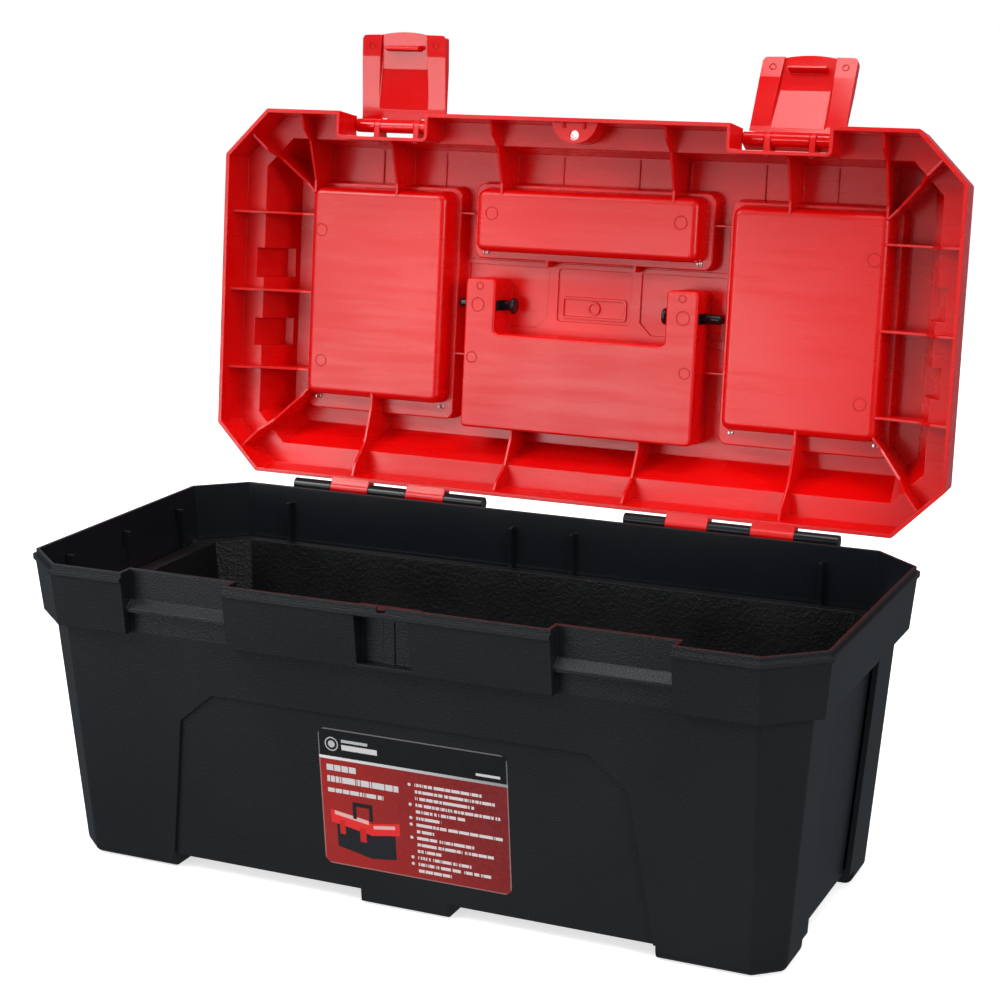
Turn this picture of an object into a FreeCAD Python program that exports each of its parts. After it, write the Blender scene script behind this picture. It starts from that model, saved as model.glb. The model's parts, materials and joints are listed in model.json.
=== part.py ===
"""Twenty-inch plastic toolbox with a hinged lid, three lid organizers and a lift-out tray.

Millimetres. +X runs along the box, -Y is the front with the latches, +Z is up.
The origin is on the floor, midway between the feet. The tub stands upright, its lid is
open, both latches are flipped up, the handle is folded and the tray sits on its ledge.
The lid and everything on it are drawn closed, then turned open about the hinge pins.
"""
import FreeCAD, Part
import math
import os

V = FreeCAD.Vector
X_AXIS = V(1, 0, 0)
Y_AXIS = V(0, 1, 0)
Z_AXIS = V(0, 0, 1)

# ---------------------------------------------------------------- tub
tub_height = 190.0          # feet to the top of the rim
rim_half_length = 250.5     # flange of the rim, half its length
rim_half_width = 116.2      # flange of the rim, half its width
corner_length = 30.6        # cut-off corner of the rim, measured along X
corner_width = 26.7         # the same, measured along Y
tongue_height = 3.0         # thin lip on the flange that the lid closes over
tongue_inset = 2.0
flange_height = 3.0
flange_proud = 1.0          # flange beyond the collar below it
collar_depth = 38.0         # top of the rim to the collar's lower edge
collar_draft = 3.5
collar_wall = 2.8
collar_step = 6.7           # collar beyond the body below it
body_draft = 12.5
body_wall = 3.4
body_corner_length = 23.0   # cut-off corner of the body, along X
body_edge_radius = 5.0
foot_height = 9.0
foot_radius = 6.0
foot_length = 94.5          # rim's end to the inner end of a foot
foot_inner_half_width = 52.0
middle_foot_half_length = 28.0      # skid across the middle
floor_thickness = 3.0

panel_depth = 1.8           # sunk panel in the front and back walls
panel_top_drop = 72.0       # rim top to the panel's upper edge
panel_shoulder_drop = 91.0
panel_top_half = 119.0
panel_shoulder_half = 142.0
panel_bottom_half = 156.0
end_panel_depth = 4.6       # end wall set back between the corner columns
end_panel_half_top = 50.0
end_panel_half_bottom = 42.0

ledge_rib_reach = 3.2       # upright ribs that stand on the ledge
ledge_rib_thickness = 2.2
ledge_rib_gap = 10.0        # rib top below the rim
outer_rib_setback = 65.5    # rim's end to the outermost rib of a long wall
inner_rib_place = 21.0
end_wall_ribs = [-62.0, 0.0, 62.0]

# latch notches in the tub's collar
latch_centre = 136.0        # middle of each latch from the middle of the box
latch_width = 61.8
latch_side_gap = 0.6
catch_drop = 22.5           # rim top to the catch edge
catch_height = 2.2
catch_reach = 6.0           # catch edge in front of the set-back wall
notch_shelf_drop = 18.0
notch_side_clearance = 0.6  # lid notch wall to the tub's notch side

# middle of the collar: pocket with an upright rib and the padlock hole
pocket_half = 17.0
pocket_top_drop = 6.0
pocket_bottom_drop = 35.5
pocket_rib_half = 3.5
padlock_radius = 3.2
padlock_setback = 3.6       # hole axis behind the flange's front

# label
label_length = 119.5
label_height = 86.0
label_centre = 9.8
label_top_drop = 81.3
label_thickness = 0.25
label_corner = 5.0

# ---------------------------------------------------------------- hinge
hinge_group_centre = 120.0
knuckle_length = 28.2
knuckles_per_group = 5
knuckle_gap = 0.3
knuckle_radius = 4.3
hinge_pin_radius = 2.0
hinge_running_gap = 0.05
hinge_setback = 11.7        # pin axis behind the rim's flange
hinge_drop = 1.5            # pin axis below the rim's top
lid_open_angle = 96.9

# ---------------------------------------------------------------- lid
wall = 2.2
lid_end_overhang = 3.0      # lid's ends beyond the tub's flange
lid_front_overhang = 7.2    # lid's front beyond the tub's flange
lid_back_overhang = 5.8
lid_corner = 31.0
lid_edge_drop = 2.7         # lid's lower edge below the tub's rim top
ledge_rise = 20.3           # rim top to the inside of the lid's step
rim_wall_draft = 2.2
crown_rise = 50.5           # rim top to the inside of the lid's crown
crown_foot_inset = 16.6     # crown's foot inside the lid's ends
crown_foot_front = 16.2
crown_foot_back = 15.6
crown_end_draft = 11.9
crown_front_draft = 4.0
crown_back_draft = 14.2
rib_thickness = 1.6

end_pockets = [(-29.6, -9.4), (18.7, 37.5)]
end_pocket_reach = 6.0

# organizer bins, sunk into the lid
bin_floor_rise = 25.5
bin_step_rise = 39.5
bin_step_width = 3.6
middle_bin_step = 4.6
bin_front_step = 2.0
bin_back_step = 11.0        # step behind the big bins' floors
middle_bin_back_step = 5.0
bin_draft = 0.13            # slope of the bins' walls
big_bin_inner = 93.0
bin_end_setback = 45.5      # lid's end to a big bin
bin_front_setback = 45.4    # lid's front to a big bin
bin_back_setback = 43.0
middle_bin_half = 85.5
middle_bin_setback = 41.4
middle_bin_depth = 51.0
bin_corner_radius = 6.0
bin_edge_radius = 4.6
cell_band = 1.2             # raised bands round the cells in front of the handle
cell_front = -26.8
cell_bevel = 8.0
seam_ribs = [26.8, 62.5, 112.5, 160.0]
seam_rib_height = 1.2

# handle recess, a U in plan
recess_floor_rise = 23.3
recess_half = 81.5
recess_setback = 41.0       # lid's back to the recess
recess_step = 17.9
post_front = -18.1
post_inner = 60.0
recess_corner = 3.5

# padlock eye in the lid's front
eye_radius = 16.0
eye_plate = 2.0
eye_clearance = 0.3
eye_gusset = 7.0            # small gussets beside the hole

# ---------------------------------------------------------------- handle
pivot_rise = 40.9
pivot_back = -0.5
pivot_pin_radius = 3.2
pivot_running_gap = 0.08
pivot_head_radius = 5.4
pivot_head_length = 3.2
pivot_head_gap = 4.6        # head's inner face to the post
pivot_tip_reach = 12.0      # bullet tip beyond the post
pin_window_gap = 0.3
handle_side_gap = 0.9
handle_arm_width = 15.4
handle_boss_radius = 8.5
closed_height = 259.0       # floor to the top of the folded grip, lid closed
grip_height = 24.0
grip_back_gap = 1.4
grip_depth = 26.0
grip_radius = 7.0

# ---------------------------------------------------------------- latches
latch_pivot_rise = 24.0
latch_pivot_setback = 8.1   # pivot behind the lid's front
latch_barrel_radius = 4.5
latch_pin_radius = 1.5
latch_running_gap = 0.05
latch_length = 60.0
latch_plate = 2.6
latch_rail_depth = 6.0      # at the free end; the rails fade towards the pivot
latch_rail_width = 14.5
latch_corner = 3.0
latch_tongue_reach = 2.0    # middle of the free end beyond the rails
latch_mark_radius = 2.2
latch_closed_angle = -5.0   # closed, the latch leans in to hook under the catch
latch_front_inset = 0.2
ear_offset = 14.6
ear_thickness = 3.8
ear_gap = 0.35
hook_drop = 1.1             # top of the hook below the catch
hook_thickness = 2.6
hook_half_width = 12.5
hook_under = 1.8            # hook behind the catch edge
left_latch_angle = 90.0
right_latch_angle = 118.0

# ---------------------------------------------------------------- covers
cover_gap = 0.3
cover_plate = 2.0
cover_margin = 2.6
cover_dome_rise = 3.0
cover_dome_inset = 9.0
cover_lip_depth = 6.0
cover_lip_wall = 1.6
cover_lip_gap = 1.6
cover_front_reach = 24.0    # big covers run forward of their bins to the crown's edge
cover_seam = 3.0            # gap between neighbouring covers
strip_plate = 3.0           # upright strip inside the bin's back wall
strip_gap = 0.3
strip_end = 7.6             # bin's side to the end of the strip
strip_foot = 1.2
strip_lift = 0.6            # strip's lower edge above the step
bead_radius = 1.0           # round back edge of a cover, in the strip's groove
bead_gap = 0.1
barb_width = 2.6
barb_depth = 1.8
barb_head = 1.6
barb_length = 4.6
clip_width = 13.0
clip_plate = 1.8
clip_depth = 9.5
clip_gap = 0.5

# ---------------------------------------------------------------- tray
tray_wall = 2.0
tray_depth = 50.0
tray_gap = 1.4
tray_flange_thickness = 2.2
tray_rib_gap = 0.4
tray_notch_gap = 0.8
tray_extra_draft = 1.0
divider_thickness = 2.0
divider_place = 0.0         # long divider, on the middle line
divider_drop = 14.0         # divider top below the ledge
grip_bridge_half = 56.0
grip_bridge_drop = 5.0
grip_slot_half = 42.0
grip_slot_height = 20.0
cross_dividers = [-75.0, 75.0]

# ---------------------------------------------------------------- derived places
rim = tub_height
collar_bottom = rim - collar_depth
body_height = collar_bottom
hinge_y = rim_half_width + hinge_setback
hinge_z = rim - hinge_drop
lid_front = -(rim_half_width + lid_front_overhang)
lid_back = rim_half_width + lid_back_overhang
crown_top = rim + crown_rise + wall
lid_half_length = rim_half_length + lid_end_overhang
big_bin_outer = lid_half_length - bin_end_setback
big_bin_front = lid_front + bin_front_setback
big_bin_back = lid_back - bin_back_setback
middle_bin_front = lid_front + middle_bin_setback
middle_bin_back = middle_bin_front + middle_bin_depth
recess_back = lid_back - recess_setback
outer_rib_place = rim_half_length - outer_rib_setback
long_wall_ribs = [-outer_rib_place, -inner_rib_place, inner_rib_place, outer_rib_place]
foot_inner_half_length = rim_half_length - foot_length
step_top = rim + ledge_rise + wall
latch_y = lid_front + latch_pivot_setback
latch_z = rim + latch_pivot_rise
pivot_z = rim + pivot_rise
padlock_y = -rim_half_width + padlock_setback
EPS = 0.01


class Octagon:
    """A rectangle with cut-off corners: half length, front and back, and the corner cut."""

    def __init__(self, half, front, back, cut_x, cut_y):
        self.half = half
        self.front = front
        self.back = back
        self.cut_x = cut_x
        self.cut_y = cut_y

    def inset(self, distance, front=None, back=None):
        """Move every side in by distance; front and back may move by their own amounts."""
        diagonal = math.hypot(self.cut_x, self.cut_y)
        reach = self.cut_x * self.cut_y / diagonal
        shrink = distance * ((self.cut_x + self.cut_y) / diagonal - 1.0)
        scale = (reach - shrink) / reach
        front = distance if front is None else front
        back = distance if back is None else back
        return Octagon(self.half - distance, self.front + front, self.back - back,
                       self.cut_x * scale, self.cut_y * scale)

    def points(self, z):
        h, f, b, cx, cy = self.half, self.front, self.back, self.cut_x, self.cut_y
        plan = [(-h + cx, f), (h - cx, f), (h, f + cy), (h, b - cy),
                (h - cx, b), (-h + cx, b), (-h, b - cy), (-h, f + cy)]
        return [V(x, y, z) for x, y in plan]


def solid_from(faces):
    return Part.Solid(Part.Shell(faces))


def face_of(points):
    return Part.Face(Part.makePolygon(list(points) + [points[0]]))


def upright(edge):
    """True for an edge that climbs from one level to another."""
    box = edge.BoundBox
    return box.ZLength > max(box.XLength, box.YLength) * 0.5


def frustum(low, z_low, high, z_high, edge_radius=0.0, foot_round=0.0):
    """Solid between two octagons whose sides are parallel, so every face is flat."""
    a, b = low.points(z_low), high.points(z_high)
    count = len(a)
    sides = [face_of([a[i], a[(i + 1) % count], b[(i + 1) % count], b[i]]) for i in range(count)]
    shape = solid_from(sides + [face_of(a), face_of(b)])
    if shape.Volume < 0:
        shape.reverse()
    if edge_radius > 0:
        shape = shape.makeFillet(edge_radius, [e for e in shape.Edges if upright(e)])
    if foot_round > 0:
        bottom = [e for e in shape.Edges if e.BoundBox.ZMax < z_low + EPS]
        shape = shape.makeFillet(foot_round, bottom)
    return shape


def block(x0, x1, y0, y1, z0, z1):
    return Part.makeBox(x1 - x0, y1 - y0, z1 - z0, V(x0, y0, z0))


def round_block(x0, x1, y0, y1, z0, z1, corner, lower_edge=0.0):
    """A block with rounded upright edges and, if asked, a rounded lower edge."""
    shape = block(x0, x1, y0, y1, z0, z1)
    shape = shape.makeFillet(corner, [e for e in shape.Edges if upright(e)])
    if lower_edge > 0:
        shape = shape.makeFillet(lower_edge, [e for e in shape.Edges if e.BoundBox.ZMax < z0 + EPS])
    return shape


def rod(radius, start, direction, length):
    return Part.makeCylinder(radius, length, start, direction)


def profile_x(points, x0, x1):
    """Outline given as (y, z) pairs, drawn out along X."""
    face = face_of([V(x0, y, z) for y, z in points])
    return face.extrude(V(x1 - x0, 0, 0))


def profile_y(points, y0, y1):
    """Outline given as (x, z) pairs, drawn out along Y."""
    face = face_of([V(x, y0, z) for x, z in points])
    return face.extrude(V(0, y1 - y0, 0))


def profile_z(points, z0, z1):
    """Outline given as (x, y) pairs, drawn out along Z."""
    face = face_of([V(x, y, z0) for x, y in points])
    return face.extrude(V(0, 0, z1 - z0))


def mirrored(shape):
    return shape.mirror(V(0, 0, 0), X_AXIS)


def both_sides(shape):
    return [shape, mirrored(shape)]


def fuse_all(shapes):
    return shapes[0].multiFuse(shapes[1:]).removeSplitter()


def cut_all(shape, tools):
    return shape.cut(tools)


def web(outer, inner, free_edge, top, thickness=rib_thickness):
    """Thin upright rib from outer to inner (x, y); free_edge lists (share of the way, z)."""
    (x0, y0), (x1, y1) = outer, inner
    run = math.hypot(x1 - x0, y1 - y0)
    along = V((x1 - x0) / run, (y1 - y0) / run, 0)
    across = V(-along.y, along.x, 0) * (thickness / 2.0)
    spots = [(share * run, z) for share, z in free_edge] + [(run, top), (0.0, top)]
    start = V(x0, y0, 0) - across
    face = face_of([start + along * s + V(0, 0, z) for s, z in spots])
    return face.extrude(across * 2.0)


# ================================================================ tub
rim_outline = Octagon(rim_half_length, -rim_half_width, rim_half_width, corner_length, corner_width)
collar_outline = rim_outline.inset(flange_proud)
collar_foot = collar_outline.inset(collar_draft)
body_cut_ratio = corner_width / corner_length
body_top_half = collar_foot.half - collar_step
body_top_side = collar_foot.back - collar_step
body_outline = Octagon(body_top_half, -body_top_side, body_top_side,
                       body_corner_length, body_corner_length * body_cut_ratio)
body_foot = body_outline.inset(body_draft)
seat_outline = body_outline.inset(body_wall)        # inner edge of the ledge
ledge_outline = collar_foot.inset(collar_wall)      # outer edge of the ledge
mouth_outline = collar_outline.inset(collar_wall)
set_back = seat_outline.back + collar_wall          # latch notch wall, outer face
notch_half = latch_width / 2.0 + latch_side_gap + wall + notch_side_clearance


def body_at(depth):
    """Body wall moved in by depth, from the floor to the collar."""
    return frustum(body_foot.inset(depth), 0.0, body_outline.inset(depth), body_height)


def end_backing(depth):
    """The end walls between the corner columns, set back by depth, at both ends."""
    slab = profile_x([(-end_panel_half_bottom, 0.0), (end_panel_half_bottom, 0.0),
                      (end_panel_half_top, body_height), (-end_panel_half_top, body_height)],
                     -rim_half_length, rim_half_length)
    return slab.cut(body_at(depth))


def panel_prism(y0, y1):
    half = [(panel_top_half, rim - panel_top_drop), (panel_shoulder_half, rim - panel_shoulder_drop),
            (panel_bottom_half, 0.0)]
    outline = half + [(-x, z) for x, z in reversed(half)]
    return profile_y(outline, y0, y1)


def make_tub():
    body = frustum(body_foot, 0.0, body_outline, body_height + EPS, body_edge_radius, foot_radius)
    collar = frustum(collar_foot, collar_bottom, collar_outline, rim - tongue_height - EPS, 2.0)
    flange_z = rim - tongue_height - flange_height
    flange = frustum(rim_outline, flange_z, rim_outline, rim - tongue_height, 2.0)
    tongue_outline = rim_outline.inset(tongue_inset)
    tongue = frustum(tongue_outline, rim - tongue_height - EPS, tongue_outline, rim, 1.5)
    shell = fuse_all([body, collar, flange, tongue])

    # underside between the corner feet and the skid that crosses the middle
    inner, waist = foot_inner_half_length, foot_inner_half_width
    gap = both_sides(block(middle_foot_half_length, inner, -rim_half_width, rim_half_width, -1, foot_height))
    gap += both_sides(block(inner - 1, rim_half_length, -waist, waist, -1, foot_height))
    shell = cut_all(shell, gap)

    # sunk panels in the front and back walls, and the set-back end walls
    sunk = body_at(panel_depth)
    front = panel_prism(-rim_half_width, 0).cut(sunk)
    back = panel_prism(0, rim_half_width).cut(sunk)
    shell = cut_all(shell, [front, back, end_backing(end_panel_depth)])

    # latch notches: open front, shelf, catch edge, and the body's wall carried up below it
    notch = [(-rim_half_width - 10, rim + 5), (-set_back, rim + 5),
             (-set_back, rim - notch_shelf_drop), (-set_back - catch_reach, rim - catch_drop),
             (-set_back - catch_reach, rim - catch_drop - catch_height),
             (body_outline.front, rim - catch_drop - catch_height),
             (body_outline.front, collar_bottom - EPS), (-rim_half_width - 10, collar_bottom - EPS)]
    for centre in (-latch_centre, latch_centre):
        shell = shell.cut(profile_x(notch, centre - notch_half, centre + notch_half))

    # pocket in the middle of the collar, with its upright rib
    pocket = block(-pocket_half, pocket_half, -rim_half_width - 5, -set_back,
                   rim - pocket_bottom_drop, rim - pocket_top_drop)
    rib_face = body_outline.front
    keep = block(-pocket_rib_half, pocket_rib_half, rib_face, -set_back + 1,
                 rim - pocket_bottom_drop - 1, rim - pocket_top_drop + 1)
    shell = shell.cut(pocket.cut(keep))

    # hollow inside: upper band, ledge, lower wall
    floor_z = foot_height + floor_thickness
    low = body_foot.inset(body_wall)
    share = floor_z / body_height
    low = low.inset(-body_draft * share)
    lower = frustum(low, floor_z, seat_outline, collar_bottom + EPS, body_edge_radius - 2.0, 2.5)
    lower = lower.cut(end_backing(end_panel_depth + body_wall))
    upper = frustum(ledge_outline, collar_bottom, mouth_outline, rim + EPS, 2.0)
    backing_low, backing_high = collar_bottom - EPS, rim + 1
    seat_front = seat_outline.front
    backs = []
    for centre in (-latch_centre, latch_centre):
        backs.append(block(centre - notch_half - wall, centre + notch_half + wall,
                           -rim_half_width, seat_front, backing_low, backing_high))
    backs.append(block(-pocket_half - wall, pocket_half + wall, -rim_half_width, seat_front,
                       backing_low, rim - tongue_height))
    upper = cut_all(upper, backs)
    shell = cut_all(shell, [lower, upper])

    # upright ribs on the ledge
    ribs = []
    rib_top = rim - ledge_rib_gap
    half = ledge_rib_thickness / 2.0
    for x in long_wall_ribs:
        face = ledge_outline.back - ledge_rib_reach
        ribs.append(block(x - half, x + half, face, ledge_outline.back + 1.5, collar_bottom - 1, rib_top))
        ribs.append(block(x - half, x + half, ledge_outline.front - 1.5, -face, collar_bottom - 1, rib_top))
    for y in end_wall_ribs:
        face = ledge_outline.half - ledge_rib_reach
        ribs += both_sides(block(face, ledge_outline.half + 1.5, y - half, y + half,
                                 collar_bottom - 1, rib_top))
    shell = fuse_all([shell] + ribs + tub_knuckles())
    bores = [rod(hinge_pin_radius, V(x0, hinge_y, hinge_z), X_AXIS, x1 - x0) for x0, x1 in hinge_spans()]
    hole = rod(padlock_radius, V(0, padlock_y, rim - pocket_top_drop - 1), Z_AXIS, 10)
    return cut_all(shell, bores + [hole])


def hinge_spans():
    """First and last X of the knuckles in each hinge group."""
    half = knuckle_length * knuckles_per_group / 2.0
    return [(side * hinge_group_centre - half, side * hinge_group_centre + half) for side in (-1, 1)]


def knuckle_cells(first):
    """X spans of every second knuckle of each group, starting with the given one."""
    cells = []
    for start, _ in hinge_spans():
        for index in range(first, knuckles_per_group, 2):
            x0 = start + index * knuckle_length
            cells.append((x0 + knuckle_gap / 2.0, x0 + knuckle_length - knuckle_gap / 2.0))
    return cells


def tub_knuckles():
    """Barrels on short brackets behind the rim; the bracket stays under the lid's edge."""
    pieces = []
    top = rim - lid_edge_drop - 0.6
    for x0, x1 in knuckle_cells(0):
        bracket = [(collar_outline.back - 1.5, top), (hinge_y, top),
                   (hinge_y, hinge_z - knuckle_radius), (collar_outline.back - 1.5, top - 16.0)]
        barrel = rod(knuckle_radius, V(x0, hinge_y, hinge_z), X_AXIS, x1 - x0)
        pieces.append(profile_x(bracket, x0, x1).fuse(barrel))
    return pieces


def make_hinge_pin(span):
    x0, x1 = span
    pin = rod(hinge_pin_radius, V(x0, hinge_y, hinge_z), X_AXIS, x1 - x0)
    return pin.makeChamfer(0.4, pin.Edges[0:1] + pin.Edges[2:3])


def make_label():
    top = rim - label_top_drop
    card = block(label_centre - label_length / 2.0, label_centre + label_length / 2.0,
                 -rim_half_width, -body_foot.back / 2.0, top - label_height, top)
    card = card.makeFillet(label_corner, [e for e in card.Edges if e.BoundBox.YLength > 10])
    return card.common(body_at(panel_depth - label_thickness)).cut(body_at(panel_depth))


# ================================================================ lid, drawn closed
lid_outline = Octagon(lid_half_length, lid_front, lid_back, lid_corner, lid_corner)
lid_step_outline = lid_outline.inset(rim_wall_draft)
lid_crown_foot = lid_outline.inset(crown_foot_inset, crown_foot_front, crown_foot_back)
lid_crown_outline = lid_crown_foot.inset(crown_end_draft, crown_front_draft, crown_back_draft)
lid_edge = rim - lid_edge_drop
lid_notch_back = -(set_back + notch_side_clearance) - wall


def lid_hollow(grow):
    """Inside of the lid, moved out into the wall by grow."""
    depth = wall - grow
    drop = 5.0
    lower = frustum(lid_outline.inset(depth), lid_edge - drop,
                    lid_step_outline.inset(depth), rim + ledge_rise + grow)
    upper = frustum(lid_crown_foot.inset(depth), rim + ledge_rise - 1,
                    lid_crown_outline.inset(depth), rim + crown_rise + grow)
    return lower.fuse(upper)


def bin_box(x0, x1, y0, y1, z_low, z_high, corner, foot_round):
    """Box with rounded corners whose sides and front lean in towards the bottom."""
    lean = bin_draft * (z_high - z_low)
    high = [V(x0, y0, z_high), V(x1, y0, z_high), V(x1, y1, z_high), V(x0, y1, z_high)]
    low = [V(x0 + lean, y0 + lean, z_low), V(x1 - lean, y0 + lean, z_low),
           V(x1 - lean, y1, z_low), V(x0 + lean, y1, z_low)]
    sides = [face_of([low[i], low[(i + 1) % 4], high[(i + 1) % 4], high[i]]) for i in range(4)]
    shape = solid_from(sides + [face_of(low), face_of(high)])
    if shape.Volume < 0:
        shape.reverse()
    shape = shape.makeFillet(corner, [e for e in shape.Edges if upright(e)])
    bottom = [e for e in shape.Edges if e.BoundBox.ZMax < z_low + EPS]
    return shape.makeFillet(foot_round, bottom)


def bin_shape(span, margin, floor_z, step_z, top_z):
    """A bin: wide upper part, and a floor set in by a step with a well rounded edge."""
    _, x0, x1, y0, y1, _ = span
    grow = bin_draft * (top_z - crown_top)
    x0, x1, y0, y1 = x0 + margin - grow, x1 - margin + grow, y0 + margin - grow, y1 - margin
    corner = bin_corner_radius - margin * 0.5
    upper = bin_box(x0, x1, y0, y1, step_z, top_z, corner, 1.0)
    lean = bin_draft * (top_z - step_z)
    side = lean + (middle_bin_step if span[0] == "middle" else bin_step_width)
    lower = bin_box(x0 + side, x1 - side, y0 + lean + bin_front_step, y1 - back_step(span[0]),
                    floor_z, step_z + 1.5, corner, bin_edge_radius - margin * 0.6)
    return upper.fuse(lower)


def back_step(name):
    """How far a bin's floor stops short of its back wall."""
    return middle_bin_back_step if name == "middle" else bin_back_step


def handle_recess(margin, floor_z, top_z):
    """U-shaped recess: two posts for the handle's arms and a wide part for its grip."""
    half, inner = recess_half - margin, post_inner + margin
    front, step, back = post_front + margin, recess_step + margin, recess_back - margin
    right = [(half, back), (half, front), (inner, front), (inner, step)]
    left = [(-x, y) for x, y in reversed(right)]
    shape = profile_z(right + left, floor_z, top_z)
    shape = shape.makeFillet(recess_corner - margin * 0.5, [e for e in shape.Edges if upright(e)])
    lower = [e for e in shape.Edges if e.BoundBox.ZMax < floor_z + EPS]
    return shape.makeFillet(1.6 - margin * 0.3, lower)


def lid_ribs():
    """Stiffening webs inside the lid, drawn long and trimmed to its inside."""
    top = crown_top
    low, mid, high = rim + 2.0, rim + 12.0, rim + bin_floor_rise
    into = bin_step_width + 5.0
    ribs = []
    for x, y_end in ((60.0, middle_bin_front + into), (137.0, big_bin_front + into),
                     (199.0, big_bin_front + into)):
        edge = [(0.0, low), (0.2, low + 4), (0.36, mid + 4), (0.85, high), (1.0, high)]
        ribs += both_sides(web((x, lid_front + 1), (x, y_end), edge, top))
    for x, y_end in ((45.0, recess_back - 1), (149.8, big_bin_back - bin_back_step - 3)):
        edge = [(0.0, low - 1), (0.18, low + 3), (0.42, mid + 6), (0.85, high), (1.0, high)]
        ribs += both_sides(web((x, lid_back - 1), (x, y_end), edge, top))
    for y in (-54.0, -1.0, 52.5):
        edge = [(0.0, low + 1.5), (0.26, low + 6), (0.42, mid + 6), (0.85, high), (1.0, high)]
        ribs += both_sides(web((lid_half_length - 1, y), (big_bin_outer - into, y), edge, top))
    corner = lid_corner / 2.0
    for y_out, y_in in ((lid_front + corner, big_bin_front + into),
                        (lid_back - corner + 1, big_bin_back - bin_back_step - 3)):
        edge = [(0.0, low), (0.3, low + 4), (0.46, mid + 5), (0.85, high), (1.0, high)]
        ribs += both_sides(web((lid_half_length - corner, y_out), (big_bin_outer - into, y_in), edge, top))
    step_z = rim + bin_step_rise
    for y, x_in in ((-60.0, middle_bin_half - 1), (34.0, recess_half - 1)):
        edge = [(0.0, step_z), (1.0, step_z)]
        ribs += both_sides(web((big_bin_inner + 4, y), (x_in, y), edge, top, 1.2))
    edge = [(0.0, step_z), (1.0, step_z)]
    ribs += both_sides(web((31.0, middle_bin_back - into), (31.0, middle_bin_back + 3.5), edge, top, 1.4))
    seam = rim + crown_rise - seam_rib_height
    for x in seam_ribs:
        edge = [(0.0, seam), (1.0, seam)]
        ribs += both_sides(web((x, -99.5), (x, big_bin_front + 2), edge, top, 1.1))
    return ribs


def cell_bands():
    """Low raised bands that frame the three cells in front of the handle recess."""
    z0, z1 = rim + crown_rise - cell_band, rim + crown_rise + 0.5
    front = middle_bin_back + 1.0
    plate = block(-big_bin_inner - 1, big_bin_inner + 1, front, recess_step + 1, z0, z1)
    side_back = recess_step - 4.5
    outer, inner, bevel = 91.0, 32.8, cell_bevel
    side = profile_z([(inner, cell_front), (outer, cell_front), (outer, side_back),
                      (inner + bevel, side_back), (inner, side_back - bevel)], z0 - 1, z1 + 1)
    middle = round_block(-26.0, 26.0, cell_front, 8.0, z0 - 1, z1 + 1, 2.5)
    return cut_all(plate, both_sides(side) + [middle])


def pin_windows():
    """Openings in the posts' side walls, from the bearing to the post's floor."""
    half = pivot_pin_radius + pin_window_gap
    floor_z = rim + recess_floor_rise + wall
    windows = []
    for x0, x1 in ((post_inner - 1, post_inner + wall + 0.5), (recess_half - wall - 0.5, recess_half + 1)):
        windows += both_sides(block(x0, x1, pivot_back - half, pivot_back + half, floor_z, pivot_z))
    return windows


def ejector_marks():
    """Round marks left by the mould's ejector pins, a shallow dip in each face."""
    dip = 0.35
    marks = []
    spots = [(193.0, -44.0, bin_floor_rise, 4.4), (190.0, 45.0, bin_floor_rise, 4.2),
             (66.0, -61.0, bin_floor_rise, 4.4), (71.0, -13.0, recess_floor_rise, 2.6),
             (72.0, -0.6, recess_floor_rise, 4.6), (75.0, 34.4, recess_floor_rise, 3.8)]
    for x, y, rise, radius in spots:
        ring = rod(radius, V(x, y, rim + rise - 1), Z_AXIS, 1 + dip)
        ring = ring.cut(rod(radius - 0.45, V(x, y, rim + rise - 1), Z_AXIS, 2 + dip))
        marks += both_sides(ring)
    return marks


def latch_notch_cut(centre):
    """Bite out of the lid's step for one latch, open at the front, below and above."""
    half = latch_width / 2.0 + latch_side_gap
    return round_block(centre - half, centre + half, lid_front - 10, lid_notch_back,
                       lid_edge - 1, step_top + 1, 2.0)


def latch_notch_wall(centre):
    half = latch_width / 2.0 + latch_side_gap + wall
    return round_block(centre - half, centre + half, lid_front - 10, lid_notch_back + wall,
                       lid_edge, step_top, 2.0 + wall)


def latch_ear(x):
    """Ear that carries the latch pin, reaching forward from the lid's crown."""
    root = lid_front + crown_foot_front
    z = latch_z
    r = latch_barrel_radius
    plate = [(latch_y, z + r), (root + 3.0, z + r + 4), (root + 3.0, z - r - 1), (latch_y, z - r)]
    half = ear_thickness / 2.0
    ear = profile_x(plate, x - half, x + half)
    return ear.fuse(rod(r, V(x - half, latch_y, z), X_AXIS, ear_thickness))


def ear_places():
    return [side * latch_centre + shift for side in (-1, 1) for shift in (-ear_offset, ear_offset)]


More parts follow.
